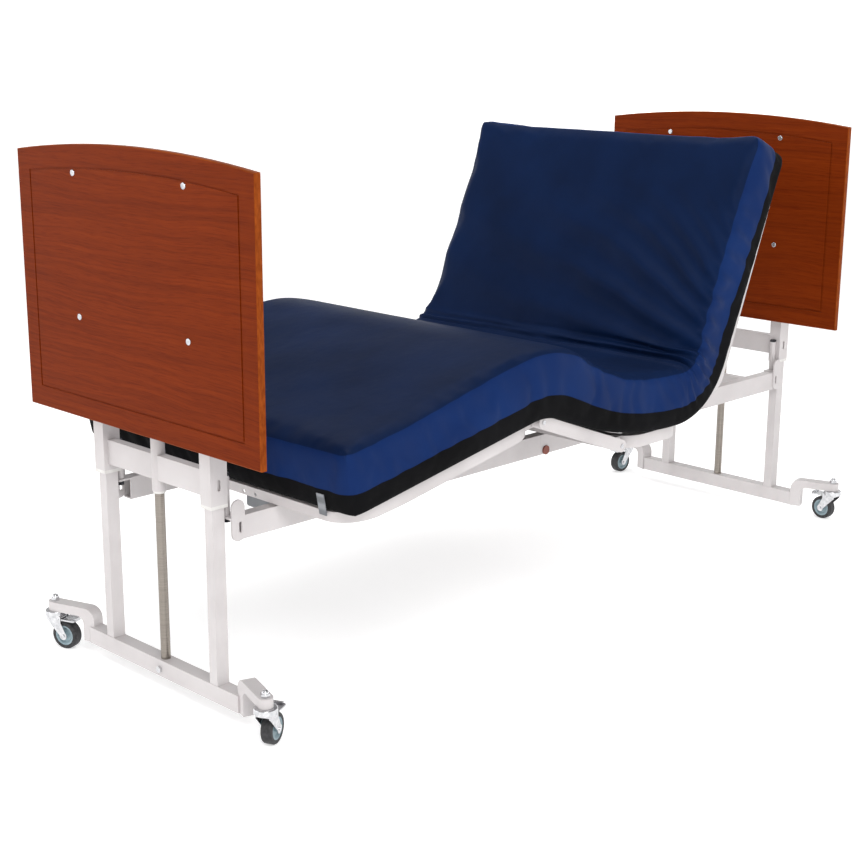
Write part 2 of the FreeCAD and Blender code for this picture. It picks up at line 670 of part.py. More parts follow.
# ---- actuators and control box ----------------------------------------------
def actuator(x_gear, x_tube, x_end, y, z, bore_from):
    """Gear housing hung under a cross member, and the tube that guides the rod."""
    y0, y1 = y - 30, y + 30
    housing = box(min(x_gear, x_tube), max(x_gear, x_tube), y0, y1, z - 26, cross_bottom)
    housing = housing.makeFillet(5, [e for e in housing.Edges if e.BoundBox.ZMax < cross_bottom - 1])
    barrel = cyl(actuator_tube_radius, (x_tube, y, z), (x_end, y, z))
    bore = cyl(rod_bar_radius + fit_gap, (bore_from, y, z), (x_end + (x_end - x_tube), y, z))
    return housing.fuse(barrel).cut(bore).removeSplitter()


def actuator_rod(x_inner, x_eye, y, z):
    half = rod_bar_radius - 1.5
    eye = cyl(12, (x_eye, y - half, z), (x_eye, y + half, z))
    return cyl(rod_bar_radius, (x_inner, y, z), (x_eye, y, z)).fuse(eye).removeSplitter()


nodes["back_motor"] = actuator(-185, -113, 186, actuator_y, back_rod_z, -90)
nodes["back_rod"] = actuator_rod(60, back_hinge_x + back_crank_x, actuator_y, back_rod_z)
nodes["knee_motor"] = actuator(-480, -400, -150, -actuator_y, knee_rod_z, -385)
nodes["knee_rod"] = actuator_rod(-300, thigh_hinge_x, -actuator_y, knee_rod_z)
case = box(-860, -740, -70, 70, cross_bottom - 64, cross_bottom)
nodes["control_box"] = case.makeFillet(8, [e for e in case.Edges if e.BoundBox.ZMax < cross_bottom - 1])


# ---- mattress ---------------------------------------------------------------
def slab(x0, x1, base, lean, swell0, swell1):
    """A length of mattress: its start leans by an angle in degrees, and each end may swell upward."""
    shift = math.tan(math.radians(lean))
    top0 = base + mattress_thick + swell0
    top1 = base + mattress_thick + swell1
    points = [(x0 + base * shift, base), (x1, base), (x1, top1), (x0 + top0 * shift, top0)]
    return extrude_xz(points, -mattress_half_width, mattress_half_width)


half_depth = deck_depth / 2
section_base = half_depth + mattress_clear
back_gap = back_fold_gap / math.cos(math.radians(back_fold))
back_base = -back_deck_drop + mattress_clear
nodes["mattress_foot"] = turned(slab(knee_gap, foot_length + foot_overhang, section_base, 0, knee_swell, 0),
                                -foot_rest, foot_place, reverse=True)
nodes["mattress_thigh"] = turned(slab(knee_gap, thigh_length - knee_gap, section_base, thigh_fold, 0, knee_swell),
                                 thigh_rest, thigh_place, reverse=True)
seat = extrude_xz([
    (thigh_hinge_x + knee_gap + section_base * math.tan(math.radians(thigh_fold)), hinge_z + section_base),
    (back_hinge_x - back_gap, hinge_z + section_base),
    (back_hinge_x - back_gap, back_hinge_z),
    (back_hinge_x - back_gap - (hinge_z + section_base + mattress_thick - back_hinge_z)
     * math.tan(math.radians(back_fold)), hinge_z + section_base + mattress_thick),
    (thigh_hinge_x + knee_gap + (section_base + mattress_thick) * math.tan(math.radians(thigh_fold)),
     hinge_z + section_base + mattress_thick)], -mattress_half_width, mattress_half_width)
nodes["mattress_seat"] = seat
back_pad = extrude_xz([
    (back_gap + back_notch, back_base), (back_length + back_overhang, back_base),
    (back_length + back_overhang, back_base + mattress_thick),
    (back_gap + (back_base + mattress_thick) * math.tan(math.radians(back_fold)), back_base + mattress_thick),
    (back_gap + 3 * math.tan(math.radians(back_fold)), 3)], -mattress_half_width, mattress_half_width)
nodes["mattress_back"] = turned(back_pad, -back_rest, back_place)
strap_x = foot_length + foot_overhang + 0.5
straps = []
for side in (-1, 1):
    strap = box(strap_x, strap_x + 2, side * strap_y - strap_width / 2, side * strap_y + strap_width / 2,
                half_depth - 8, half_depth + 45)
    straps.append(turned(strap, -foot_rest, foot_place, reverse=True))
nodes["mattress_straps"] = group(straps)


# ---- casters ----------------------------------------------------------------
def caster(name, end, side, trail_angle):
    """One caster, drawn with its stem on the Z axis and trailing along +X, then turned."""
    axle_z = wheel_radius
    half = tyre_width / 2
    race_low = 86.0
    race_top = arm_top - arm_thick - 0.3
    race = cyl(race_radius, (0, 0, race_low), (0, 0, race_top))
    race = race.makeFillet(3, [e for e in race.Edges if len(e.Vertexes) == 1])
    stem = cyl(stem_radius, (0, 0, race_low), (0, 0, arm_top + 7))
    cheeks = []
    for s in (-1, 1):
        y0, y1 = sorted((s * (half + 2.5), s * (half + 2.5 + fork_plate)))
        outline = [(-17, race_low + 3), (26, race_low + 3), (26, 72), (caster_trail + 11, axle_z),
                   (caster_trail - 11, axle_z), (-17, 78)]
        cheek = extrude_xz(outline, y0, y1).fuse(cyl(11, (caster_trail, y0, axle_z), (caster_trail, y1, axle_z)))
        cheeks.append(cheek.cut(cyl(2.5 + fit_gap, (19, y0 - 1, 82), (19, y1 + 1, 82))))
    crown = box(-17, 10, -half - 2.5, half + 2.5, race_low - 4, race_low + 3)
    axle = cyl(axle_radius, (caster_trail, -half - 7, axle_z), (caster_trail, half + 7, axle_z))
    fork = race.multiFuse([stem, crown, axle] + cheeks).removeSplitter()
    tyre = cyl(wheel_radius, (caster_trail, -half, axle_z), (caster_trail, half, axle_z))
    tyre = tyre.makeFillet(5, [e for e in tyre.Edges if len(e.Vertexes) == 1])
    tyre = tyre.cut(cyl(hub_radius, (caster_trail, -half - 1, axle_z), (caster_trail, half + 1, axle_z)))
    hub = cyl(hub_radius, (caster_trail, -half + 1, axle_z), (caster_trail, half - 1, axle_z))
    for s in (-1, 1):
        hub = hub.cut(Part.makeCone(hub_radius - 4, hub_radius - 9, 6, V(caster_trail, s * (half - 1), axle_z),
                                    V(0, -s, 0)))
        hub = hub.fuse(cyl(8, (caster_trail, 0, axle_z), (caster_trail, s * (half + 1.5), axle_z)))
    hub = hub.cut(cyl(axle_radius + fit_gap, (caster_trail, -half - 9, axle_z), (caster_trail, half + 9, axle_z)))
    tongue = box(13, 30, -14, 14, 79, 83).fuse(cyl(4, (19, -14, 82), (19, 14, 82)))
    plate = box(28.5, 70, -20, 20, 80, 84)
    plate = plate.makeFillet(7, [e for e in plate.Edges if e.BoundBox.XMin > 69 and e.BoundBox.ZLength > 3])
    lip = box(62, 70, -13, 13, 82, 88)
    pin = cyl(2.5, (19, -half - 6, 82), (19, half + 6, 82))
    pedal = plate.multiFuse([tongue, lip, pin]).removeSplitter()
    for part_name, shape in (("fork", fork), ("tyre", tyre), ("hub", hub), ("pedal", pedal)):
        shape.rotate(V(0, 0, 0), V(0, 0, 1), trail_angle)
        shape.translate(V(end * stem_x, side * stem_y, 0))
        nodes["caster_" + name + "_" + part_name] = shape


caster("foot_left", -1, -1, 25)
caster("foot_right", -1, 1, -69)
caster("head_left", 1, -1, 87)
caster("head_right", 1, 1, 175)

for node_name, node_shape in nodes.items():
    node_shape.exportStep("parts/" + node_name + ".step")
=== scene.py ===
import json
import math

import bmesh
import bpy
import numpy as np
from mathutils import Matrix, Vector, noise


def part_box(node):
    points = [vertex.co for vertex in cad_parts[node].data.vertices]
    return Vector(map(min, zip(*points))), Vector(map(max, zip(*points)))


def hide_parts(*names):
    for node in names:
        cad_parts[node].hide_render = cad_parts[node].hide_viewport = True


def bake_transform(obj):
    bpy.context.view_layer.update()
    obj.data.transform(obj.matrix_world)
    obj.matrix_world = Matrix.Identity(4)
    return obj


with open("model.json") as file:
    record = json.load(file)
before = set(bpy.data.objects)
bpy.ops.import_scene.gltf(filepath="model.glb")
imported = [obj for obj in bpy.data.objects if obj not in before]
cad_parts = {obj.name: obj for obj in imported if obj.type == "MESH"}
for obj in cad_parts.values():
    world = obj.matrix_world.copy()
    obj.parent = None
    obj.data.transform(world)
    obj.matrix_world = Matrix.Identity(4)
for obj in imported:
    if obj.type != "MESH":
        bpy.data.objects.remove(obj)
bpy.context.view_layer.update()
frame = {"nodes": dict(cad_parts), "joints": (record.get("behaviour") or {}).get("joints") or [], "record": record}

# ---- Camera, floor and studio light -----------------------------------------
# The camera stands at the foot end on the bed's left side, a little above the boards, with a
# short telephoto lens. The room is a white floor, a lit white wall and soft boxes.
camera_place = Vector((-3.2670, -2.9652, 1.5800))
camera_yaw = math.radians(44.584)
camera_down = math.radians(14.408)
camera_roll = math.radians(0.302)
ahead = Vector((math.cos(camera_yaw) * math.cos(camera_down),
                math.sin(camera_yaw) * math.cos(camera_down), -math.sin(camera_down)))
level_right = ahead.cross(Vector((0, 0, 1))).normalized()
level_up = level_right.cross(ahead)
right = level_right * math.cos(camera_roll) + level_up * math.sin(camera_roll)
up = level_up * math.cos(camera_roll) - level_right * math.sin(camera_roll)
camera_data = bpy.data.cameras.new("studio_camera")
camera_data.lens = 65.09
camera_data.sensor_width = 36.0
camera = bpy.data.objects.new("studio_camera", camera_data)
camera.matrix_world = Matrix.Translation(camera_place) @ Matrix((right, up, -ahead)).transposed().to_4x4()
bpy.context.scene.collection.objects.link(camera)
bpy.context.scene.camera = camera


def linear(hex_colour):
    """An sRGB hex colour as the linear RGBA that the shaders take."""
    values = [int(hex_colour[i:i + 2], 16) / 255 for i in (1, 3, 5)]
    return tuple(v / 12.92 if v <= 0.04045 else ((v + 0.055) / 1.055) ** 2.4 for v in values) + (1.0,)


def add_node(tree, kind, inputs=(), **settings):
    """Adds a shader node, makes its settings, and sets or links its inputs."""
    node = tree.nodes.new("ShaderNode" + kind)
    for key, value in settings.items():
        setattr(node, key, value)
    for key, value in dict(inputs).items():
        if isinstance(value, bpy.types.NodeSocket):
            tree.links.new(value, node.inputs[key])
        else:
            node.inputs[key].default_value = value
    return node


def new_material(name, colour, roughness, metallic=0.0, **sockets):
    """A material with its Principled shader, whose constant values sit on the shader's own sockets."""
    material = bpy.data.materials.new(name)
    material.use_nodes = True
    tree = material.node_tree
    tree.nodes.clear()
    shader = add_node(tree, "BsdfPrincipled", {"Base Color": linear(colour), "Roughness": roughness,
                                               "Metallic": metallic, **sockets})
    add_node(tree, "OutputMaterial", {"Surface": shader.outputs[0]})
    return material, tree, shader


def place(tree, scale=(1.0, 1.0, 1.0)):
    """Object coordinates in metres, scaled by axis."""
    coordinates = add_node(tree, "TexCoord")
    return add_node(tree, "Mapping", {"Vector": coordinates.outputs["Object"], "Scale": scale}).outputs[0]


def ramp(tree, factor, stops):
    """A colour ramp with (position, hex colour) stops."""
    node = add_node(tree, "ValToRGB", {"Fac": factor})
    while len(node.color_ramp.elements) < len(stops):
        node.color_ramp.elements.new(0.5)
    for element, (position, colour) in zip(node.color_ramp.elements, stops):
        element.position = position
        element.color = linear(colour)
    return node.outputs[0]


def bump(tree, shader, height, distance, strength=1.0):
    node = add_node(tree, "Bump", {"Height": height, "Distance": distance, "Strength": strength})
    tree.links.new(node.outputs[0], shader.inputs["Normal"])
    return node


def roughness_range(tree, shader, factor, low, high):
    node = add_node(tree, "MapRange", {"Value": factor, "To Min": low, "To Max": high})
    tree.links.new(node.outputs[0], shader.inputs["Roughness"])


floor_material, floor_tree, floor_shader = new_material("studio_paper", "#f4f4f4", 0.9,
                                                        **{"Emission Strength": 0.45})
floor_fibre = add_node(floor_tree, "TexNoise", {"Vector": place(floor_tree), "Scale": 40.0})
floor_tint = ramp(floor_tree, floor_fibre.outputs["Fac"], [(0.3, "#f2f2f2"), (0.7, "#f6f6f6")])
floor_tree.links.new(floor_tint, floor_shader.inputs["Base Color"])
floor_mesh = bpy.data.meshes.new("floor")
floor_half = 30.0
floor_mesh.from_pydata([(-floor_half, -floor_half, 0), (floor_half, -floor_half, 0),
                        (floor_half, floor_half, 0), (-floor_half, floor_half, 0)], [], [(0, 1, 2, 3)])
floor = bpy.data.objects.new("floor", floor_mesh)
floor_mesh.materials.append(floor_material)
bpy.context.scene.collection.objects.link(floor)

# A lit white wall stands round the floor, far enough away to have no edge or corner in view.
wall_material = new_material("lit_wall", "#ffffff", 0.9, **{"Emission Strength": 1.0})[0]
wall_radius = 28.0
wall_height = 7.0
wall_sides = 96
wall_turns = [2 * math.pi * i / wall_sides for i in range(wall_sides)]
wall_ring = [(wall_radius * math.cos(turn), wall_radius * math.sin(turn)) for turn in wall_turns]
wall_mesh = bpy.data.meshes.new("wall")
wall_mesh.from_pydata([(x, y, 0) for x, y in wall_ring] + [(x, y, wall_height) for x, y in wall_ring], [],
                      [(i, (i + 1) % wall_sides, (i + 1) % wall_sides + wall_sides, i + wall_sides)
                       for i in range(wall_sides)])
wall = bpy.data.objects.new("wall", wall_mesh)
wall_mesh.materials.append(wall_material)
bpy.context.scene.collection.objects.link(wall)

world = bpy.data.worlds.new("studio")
world.use_nodes = True
world.node_tree.nodes["Background"].inputs["Color"].default_value = (1.0, 1.0, 1.0, 1.0)
world.node_tree.nodes["Background"].inputs["Strength"].default_value = 0.5
bpy.context.scene.world = world
bpy.context.scene.view_settings.view_transform = "Standard"


def soft_box(name, place_at, aim, size, power):
    data = bpy.data.lights.new(name, "AREA")
    data.size = size
    data.energy = power
    lamp = bpy.data.objects.new(name, data)
    lamp.location = place_at
    lamp.rotation_euler = (Vector(aim) - Vector(place_at)).to_track_quat("-Z", "Y").to_euler()
    bpy.context.scene.collection.objects.link(lamp)


soft_box("key_box", (-3.0, -3.6, 4.2), (0, 0, 0.6), 2.2, 140)
soft_box("fill_box", (-4.5, 2.6, 2.8), (0, 0, 0.6), 2.5, 35)
soft_box("top_box", (1.0, 0.6, 4.6), (0, 0, 0.4), 2.5, 70)


def finish_nodes(slot, material):
    """Gives every CAD node of a slot its finish."""
    for entry in frame["record"]["subparts"]:
        if entry["material_slot"] == slot:
            mesh = frame["nodes"][entry["node"]].data
            mesh.materials.clear()
            mesh.materials.append(material)


# ---- Welded frames ----------------------------------------------------------
# Base frames, sleeve frames, side rails and deck sections are steel tube, welded and powder
# coated. The coat is a satin off-white with a fine orange-peel skin and faint grey handling dust.
peel_size = 0.0025
powder_coat, tree, shader = new_material("satin_powder_coat", "#c3bebd", 0.42, **{"IOR": 1.5})
peel = add_node(tree, "TexNoise", {"Vector": place(tree), "Scale": 1 / peel_size, "Detail": 1.0})
dust = add_node(tree, "TexNoise", {"Vector": place(tree), "Scale": 7.0, "Detail": 5.0})
coat_tint = ramp(tree, dust.outputs["Fac"], [(0.32, "#bcb7b7"), (0.55, "#c5c0c0"), (0.8, "#cac6c6")])
tree.links.new(coat_tint, shader.inputs["Base Color"])
bump(tree, shader, peel.outputs["Fac"], 0.0002, 0.35)
roughness_range(tree, shader, dust.outputs["Fac"], 0.32, 0.46)
finish_nodes("cream_paint", powder_coat)

# ---- Lift rods and actuator rods --------------------------------------------
# Stainless bar, centreless ground. The grinding leaves fine rings round the bar, which the
# pattern draws 1 mm apart, coarser than real, so that they show.
ring_size = 0.001
ground_steel, tree, shader = new_material("ground_stainless", "#a39d95", 0.28, 1.0)
rings = add_node(tree, "TexNoise", {"Vector": place(tree, (3, 3, 1 / ring_size)), "Scale": 1.0,
                                    "Detail": 2.0})
steel_tint = ramp(tree, rings.outputs["Fac"], [(0.3, "#857e77"), (0.7, "#989189")])
tree.links.new(steel_tint, shader.inputs["Base Color"])
roughness_range(tree, shader, rings.outputs["Fac"], 0.24, 0.34)
bump(tree, shader, rings.outputs["Fac"], 0.00001, 0.2)
finish_nodes("stainless_rod", ground_steel)

# ---- Bolts, nuts, screws and caster forks -----------------------------------
# Pressed and turned steel with a bright zinc or chrome plate, a little clouded by handling.
bright_plate, tree, shader = new_material("bright_zinc_plate", "#d4d4d6", 0.16, 1.0)
cloud = add_node(tree, "TexNoise", {"Vector": place(tree), "Scale": 90.0, "Detail": 4.0})
plate_tint = ramp(tree, cloud.outputs["Fac"], [(0.3, "#b9babd"), (0.7, "#dddddf")])
tree.links.new(plate_tint, shader.inputs["Base Color"])
roughness_range(tree, shader, cloud.outputs["Fac"], 0.1, 0.26)
bump(tree, shader, cloud.outputs["Fac"], 0.00008, 0.3)
finish_nodes("zinc_plate", bright_plate)
finish_nodes("pedal_steel", bright_plate)

# ---- Pivot bolts ------------------------------------------------------------
# Hexagon bolts with a black oxide skin, slightly oily.
black_oxide, tree, shader = new_material("black_oxide_steel", "#26262a", 0.42, 0.6)
oxide = add_node(tree, "TexNoise", {"Vector": place(tree), "Scale": 240.0, "Detail": 3.0})
oxide_tint = ramp(tree, oxide.outputs["Fac"], [(0.35, "#1d1d20"), (0.7, "#34343a")])
tree.links.new(oxide_tint, shader.inputs["Base Color"])
bump(tree, shader, oxide.outputs["Fac"], 0.0001, 0.4)
finish_nodes("black_bolt", black_oxide)


# ---- Bushes, motor housings, control box and plugs ---------------------------
# Injection-moulded plastics. A spark-eroded mould leaves a grain of about a millimetre.
def moulded(name, colour, light, roughness, grain=0.0011):
    material, tree, shader = new_material(name, colour, roughness, **{"IOR": 1.53})
    texture = add_node(tree, "TexNoise", {"Vector": place(tree), "Scale": 1 / grain, "Detail": 1.0})
    shade = add_node(tree, "TexNoise", {"Vector": place(tree), "Scale": 25.0, "Detail": 3.0})
    tint = ramp(tree, shade.outputs["Fac"], [(0.35, colour), (0.7, light)])
    tree.links.new(tint, shader.inputs["Base Color"])
    bump(tree, shader, texture.outputs["Fac"], 0.0001, 0.5)
    return material


finish_nodes("bush_plastic", moulded("white_acetal", "#cfccc9", "#dbd9d6", 0.42))
finish_nodes("housing_plastic", moulded("grey_abs", "#6b6e72", "#777a7e", 0.5))
finish_nodes("plug_plastic", moulded("red_brown_nylon", "#6e2b1c", "#84402c", 0.5))

# ---- Caster wheels ----------------------------------------------------------
# A black rubber tread on a grey-blue polypropylene hub. The tread is dulled by floor dust.
finish_nodes("hub_plastic", moulded("grey_polypropylene", "#7f939b", "#93a5ab", 0.45))
tread_rubber, tree, shader = new_material("black_rubber", "#1a1a1c", 0.6)
scuff = add_node(tree, "TexNoise", {"Vector": place(tree), "Scale": 130.0, "Detail": 6.0})
rubber_tint = ramp(tree, scuff.outputs["Fac"], [(0.4, "#161618"), (0.75, "#3a3a3c")])
tree.links.new(rubber_tint, shader.inputs["Base Color"])
roughness_range(tree, shader, scuff.outputs["Fac"], 0.5, 0.75)
bump(tree, shader, scuff.outputs["Fac"], 0.0002, 0.4)
finish_nodes("tyre_rubber", tread_rubber)

# ---- Footboard and headboard ------------------------------------------------
# Fibreboard with a cherry laminate, printed with a level grain. The edges are eased and the
# laminate there is a lighter orange. A routed line runs round each face.
grain_length = 0.45
streak_width = 0.009
pore_width = 0.0016
laminate_gloss = 0.04
cherry_laminate, tree, shader = new_material("cherry_laminate", "#6c2409", 0.42,
                                             **{"Specular IOR Level": laminate_gloss})
warp = add_node(tree, "TexNoise", {"Vector": place(tree, (1, 2.2, 5)), "Scale": 1.0, "Detail": 2.0})
warp_shift = add_node(tree, "VectorMath", {0: warp.outputs["Color"], 1: (0.0, 0.0, 0.05)},
                      operation="MULTIPLY")
grain_place = add_node(tree, "VectorMath", {0: place(tree), 1: warp_shift.outputs[0]}, operation="ADD")
streak_map = add_node(tree, "Mapping", {"Vector": grain_place.outputs[0],
                                        "Scale": (3.0, 1 / grain_length, 1 / streak_width)})
streaks = add_node(tree, "TexNoise", {"Vector": streak_map.outputs[0], "Scale": 1.0, "Detail": 4.0,
                                      "Roughness": 0.62})
pore_map = add_node(tree, "Mapping", {"Vector": grain_place.outputs[0],
                                      "Scale": (3.0, 22.0, 1 / pore_width)})
pores = add_node(tree, "TexNoise", {"Vector": pore_map.outputs[0], "Scale": 1.0, "Detail": 2.0})
board_tint = ramp(tree, streaks.outputs["Fac"],
                  [(0.25, "#5f2004"), (0.45, "#6a2605"), (0.6, "#722a06"), (0.8, "#7d3209")])
pore_tint = ramp(tree, pores.outputs["Fac"], [(0.34, "#d8bba8"), (0.5, "#ffffff")])
pored = add_node(tree, "MixRGB", {"Fac": 0.6, "Color1": board_tint, "Color2": pore_tint},
                 blend_type="MULTIPLY")
tree.links.new(pored.outputs[0], shader.inputs["Base Color"])
bump(tree, shader, pores.outputs["Fac"], 0.0001, 0.25)
edge_laminate, tree, shader = new_material("cherry_edge_laminate", "#7d3a0e", 0.45,
                                           **{"Specular IOR Level": laminate_gloss})
edge_grain = add_node(tree, "TexNoise", {"Vector": place(tree, (200, 12, 60)), "Scale": 1.0, "Detail": 3.0})
edge_tint = ramp(tree, edge_grain.outputs["Fac"], [(0.3, "#71300a"), (0.7, "#8d4314")])
tree.links.new(edge_tint, shader.inputs["Base Color"])
bump(tree, shader, edge_grain.outputs["Fac"], 0.0001, 0.2)
finish_nodes("cherry_laminate", cherry_laminate)
for name in ("footboard", "headboard"):
    low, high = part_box(name)
    mesh = frame["nodes"][name].data
    mesh.materials.append(edge_laminate)
    for polygon in mesh.polygons:
        middle = polygon.center
        at_edge = abs(middle.y) > high.y - 0.004 or middle.z < low.z + 0.004
        if abs(polygon.normal.x) < 0.97 and (at_edge or middle.z > low.z + 0.6):
            polygon.material_index = 1

# ---- Mattress ---------------------------------------------------------------
# One foam slab in a zipped cover: a navy top of coated stretch knit, royal-blue sides and a
# black non-slip base. It is shaped along the bent deck, and the cover puckers where it folds.
joint = {j["name"]: j for j in frame["joints"]}
knee_at = Vector((joint["knee"]["pos_m"][0], joint["knee"]["pos_m"][2]))
thigh_at = Vector((joint["thigh_tilt"]["pos_m"][0], joint["thigh_tilt"]["pos_m"][2]))
back_at = Vector((joint["back_tilt"]["pos_m"][0], joint["back_tilt"]["pos_m"][2]))
foot_slope = math.radians(10.5)
thigh_slope = math.radians(-20.57)
back_slope = math.radians(66.4)
deck_offset = 0.018
back_offset = -0.011
pad_half = 0.532
pad_thick = 0.152
knee_swell = 0.022
base_cover = 0.055
foot_reach = 0.674
head_reach = 0.779
mesh_step = 0.0135
knee_radius = 0.20
thigh_radius = 1.12
back_radius = 0.235
plan_round = 0.045
edge_round = 0.026


def heading(angle):
    return Vector((math.cos(angle), math.sin(angle)))


def upward(angle):
    return Vector((-math.sin(angle), math.cos(angle)))


def crossing(point_a, angle_a, point_b, angle_b):
    """Where two lines of the deck's side view meet."""
    a, b = heading(angle_a), heading(angle_b)
    gap = point_b - point_a
    return point_a + a * ((gap.x * b.y - gap.y * b.x) / (a.x * b.y - a.y * b.x))


foot_line = knee_at + upward(foot_slope) * deck_offset
thigh_line = thigh_at + upward(thigh_slope) * deck_offset
seat_line = thigh_at + Vector((0, deck_offset))
back_line = back_at + upward(back_slope) * back_offset
knee_corner = crossing(foot_line, foot_slope, thigh_line, thigh_slope)
thigh_corner = crossing(thigh_line, thigh_slope, seat_line, 0.0)
back_corner = crossing(seat_line, 0.0, back_line, back_slope)
foot_end = foot_line - heading(foot_slope) * foot_reach
head_end = back_line + heading(back_slope) * head_reach


def bent_path():
    """The pad's bottom line in side view: straight runs joined by arcs, as (length, x, z, angle)."""
    corners = [(knee_corner, foot_slope, thigh_slope, knee_radius),
               (thigh_corner, thigh_slope, 0.0, thigh_radius),
               (back_corner, 0.0, back_slope, back_radius)]
    here, length = foot_end, 0.0
    rows = [(length, here.x, here.y, foot_slope)]
    for corner, before, after, radius in corners:
        turn = after - before
        start = corner - heading(before) * radius * math.tan(abs(turn) / 2)
        length += (start - here).length
        rows.append((length, start.x, start.y, before))
        steps = 24
        centre = start + upward(before) * math.copysign(radius, turn)
        for i in range(1, steps + 1):
            angle = before + turn * i / steps
            spot = centre - upward(angle) * math.copysign(radius, turn)
            rows.append((length + abs(turn) * radius * i / steps, spot.x, spot.y, angle))
        length += abs(turn) * radius
        here = corner + heading(after) * radius * math.tan(abs(turn) / 2)
    length += (head_end - here).length
    rows.append((length, head_end.x, head_end.y, back_slope))
    return np.array(rows)


path = bent_path()
pad_length = path[-1, 0]
thigh_fold_at = float(np.interp(thigh_corner.x, path[:, 1], path[:, 0]))
knee_fold_at = float(np.interp(knee_corner.x, path[:, 1], path[:, 0]))
back_fold_at = float(np.interp(back_corner.x - 0.02, path[:, 1], path[:, 0]))


def smooth(value, low, high):
    t = np.clip((value - low) / (high - low), 0.0, 1.0)
    return t * t * (3 - 2 * t)


def pad_point(length, across, height):
    """A point of the slab: rounded in plan and along its top edges, then bent along the deck."""
    end = min(length, pad_length - length)
    side = pad_half - abs(across)
    if end < plan_round and side < plan_round:
        out = math.hypot(plan_round - end, plan_round - side)
        pull = plan_round * max(plan_round - end, plan_round - side) / max(out, 1e-6) / plan_round
        shrink_end = plan_round - (plan_round - end) * pull
        shrink_side = plan_round - (plan_round - side) * pull
        length += math.copysign(shrink_end - end, pad_length / 2 - length)
        across -= math.copysign(shrink_side - side, across)
        end, side = shrink_end, shrink_side
    edge = min(end, side)
    for top in (True, False):
        round_off = edge_round if top else 0.6 * edge_round
        drop = pad_thick - height if top else height
        if drop < round_off and edge < round_off:
            out = math.hypot(round_off - drop, round_off - edge)
            pull = max(round_off - drop, round_off - edge) / max(out, 1e-6)
            new_drop = round_off - (round_off - drop) * pull
            new_edge = round_off - (round_off - edge) * pull
            height += (drop - new_drop) if top else (new_drop - drop)
            if side <= end:
                across -= math.copysign(new_edge - edge, across)
            else:
                length += math.copysign(new_edge - edge, pad_length / 2 - length)
    height *= 1 + knee_swell / pad_thick * float(smooth(length, 0.1, knee_fold_at - 0.05)
                                                  * (1 - smooth(length, knee_fold_at, thigh_fold_at)))
    x = np.interp(length, path[:, 0], path[:, 1])
    z = np.interp(length, path[:, 0], path[:, 2])
    angle = np.interp(length, path[:, 0], path[:, 3])
    return (x - math.sin(angle) * height, across, z + math.cos(angle) * height)


def pad_lattice():
    """The slab's skin as even quads facing outward, with each face's cover: 0 top, 1 side, 2 base."""
    count_l = round(pad_length / mesh_step)
    count_a = round(2 * pad_half / mesh_step)
    lengths = np.linspace(0, pad_length, count_l + 1)
    widths = np.linspace(-pad_half, pad_half, count_a + 1)
    base_rows = round(base_cover / mesh_step)
    side_rows = round((pad_thick - base_cover) / mesh_step)
    heights = np.concatenate([np.linspace(0, base_cover, base_rows + 1)[:-1],
                              np.linspace(base_cover, pad_thick, side_rows + 1)])
    index, points, places, faces, covers = {}, [], [], [], []

    def vertex(i, j, k):
        key = (i, j, k)
        if key not in index:
            index[key] = len(points)
            places.append((lengths[i], widths[j], heights[k]))
            points.append(pad_point(*places[-1]))
        return index[key]

    last_l, last_a, last_h = count_l, count_a, len(heights) - 1
    for i in range(last_l):
        for j in range(last_a):
            faces.append([vertex(i, j, last_h), vertex(i + 1, j, last_h),
                          vertex(i + 1, j + 1, last_h), vertex(i, j + 1, last_h)])
            faces.append([vertex(i, j, 0), vertex(i, j + 1, 0), vertex(i + 1, j + 1, 0), vertex(i + 1, j, 0)])
            covers += [0, 2]
        for k in range(last_h):
            cover = 2 if heights[k] < base_cover - 0.001 else 1
            faces.append([vertex(i, 0, k), vertex(i + 1, 0, k), vertex(i + 1, 0, k + 1), vertex(i, 0, k + 1)])
            faces.append([vertex(i, last_a, k), vertex(i, last_a, k + 1),
                          vertex(i + 1, last_a, k + 1), vertex(i + 1, last_a, k)])
            covers += [cover, cover]
    for j in range(last_a):
        for k in range(last_h):
            cover = 2 if heights[k] < base_cover - 0.001 else 1
            faces.append([vertex(0, j, k), vertex(0, j, k + 1), vertex(0, j + 1, k + 1), vertex(0, j + 1, k)])
            faces.append([vertex(last_l, j, k), vertex(last_l, j + 1, k),
                          vertex(last_l, j + 1, k + 1), vertex(last_l, j, k + 1)])
            covers += [cover, cover]
    return points, np.array(places), faces, covers


points, places, faces, covers = pad_lattice()
pad_mesh = bpy.data.meshes.new("pad")
pad_mesh.from_pydata(points, [], faces)
pad_mesh.polygons.foreach_set("material_index", covers)
pad = bpy.data.objects.new("pad", pad_mesh)
bpy.context.scene.collection.objects.link(pad)
along, across, height = places.T
coordinates = np.array(points)


def pad_normals():
    normals = np.zeros(len(pad_mesh.vertices) * 3)
    pad_mesh.vertex_normals.foreach_get("vector", normals)
    return normals.reshape(-1, 3)


# The cover is loose where the foam folds: long folds fan out across the back from the fold's
# nearer end, flat rolls lie along the fold, and the sides crush into short uneven pleats.
def wander(scale, seed):
    """Smooth noise over the cover, from -1 to 1."""
    spots = np.stack([along, across, height], axis=1) * scale + seed
    return np.array([noise.noise(Vector(spot)) for spot in spots])


def crease(value):
    """A soft ridge with a sharp valley beside it."""
    turn = value - np.floor(value)
    ridge = 0.7
    valley = -0.35 * np.sin((turn - ridge) / (1 - ridge) * math.pi)
    return np.where(turn < ridge, np.sin(turn / ridge * math.pi) ** 2, valley)


sweep_height = 0.0150
roll_height = 0.0070
crush_height = 0.0110
ripple_height = 0.0030


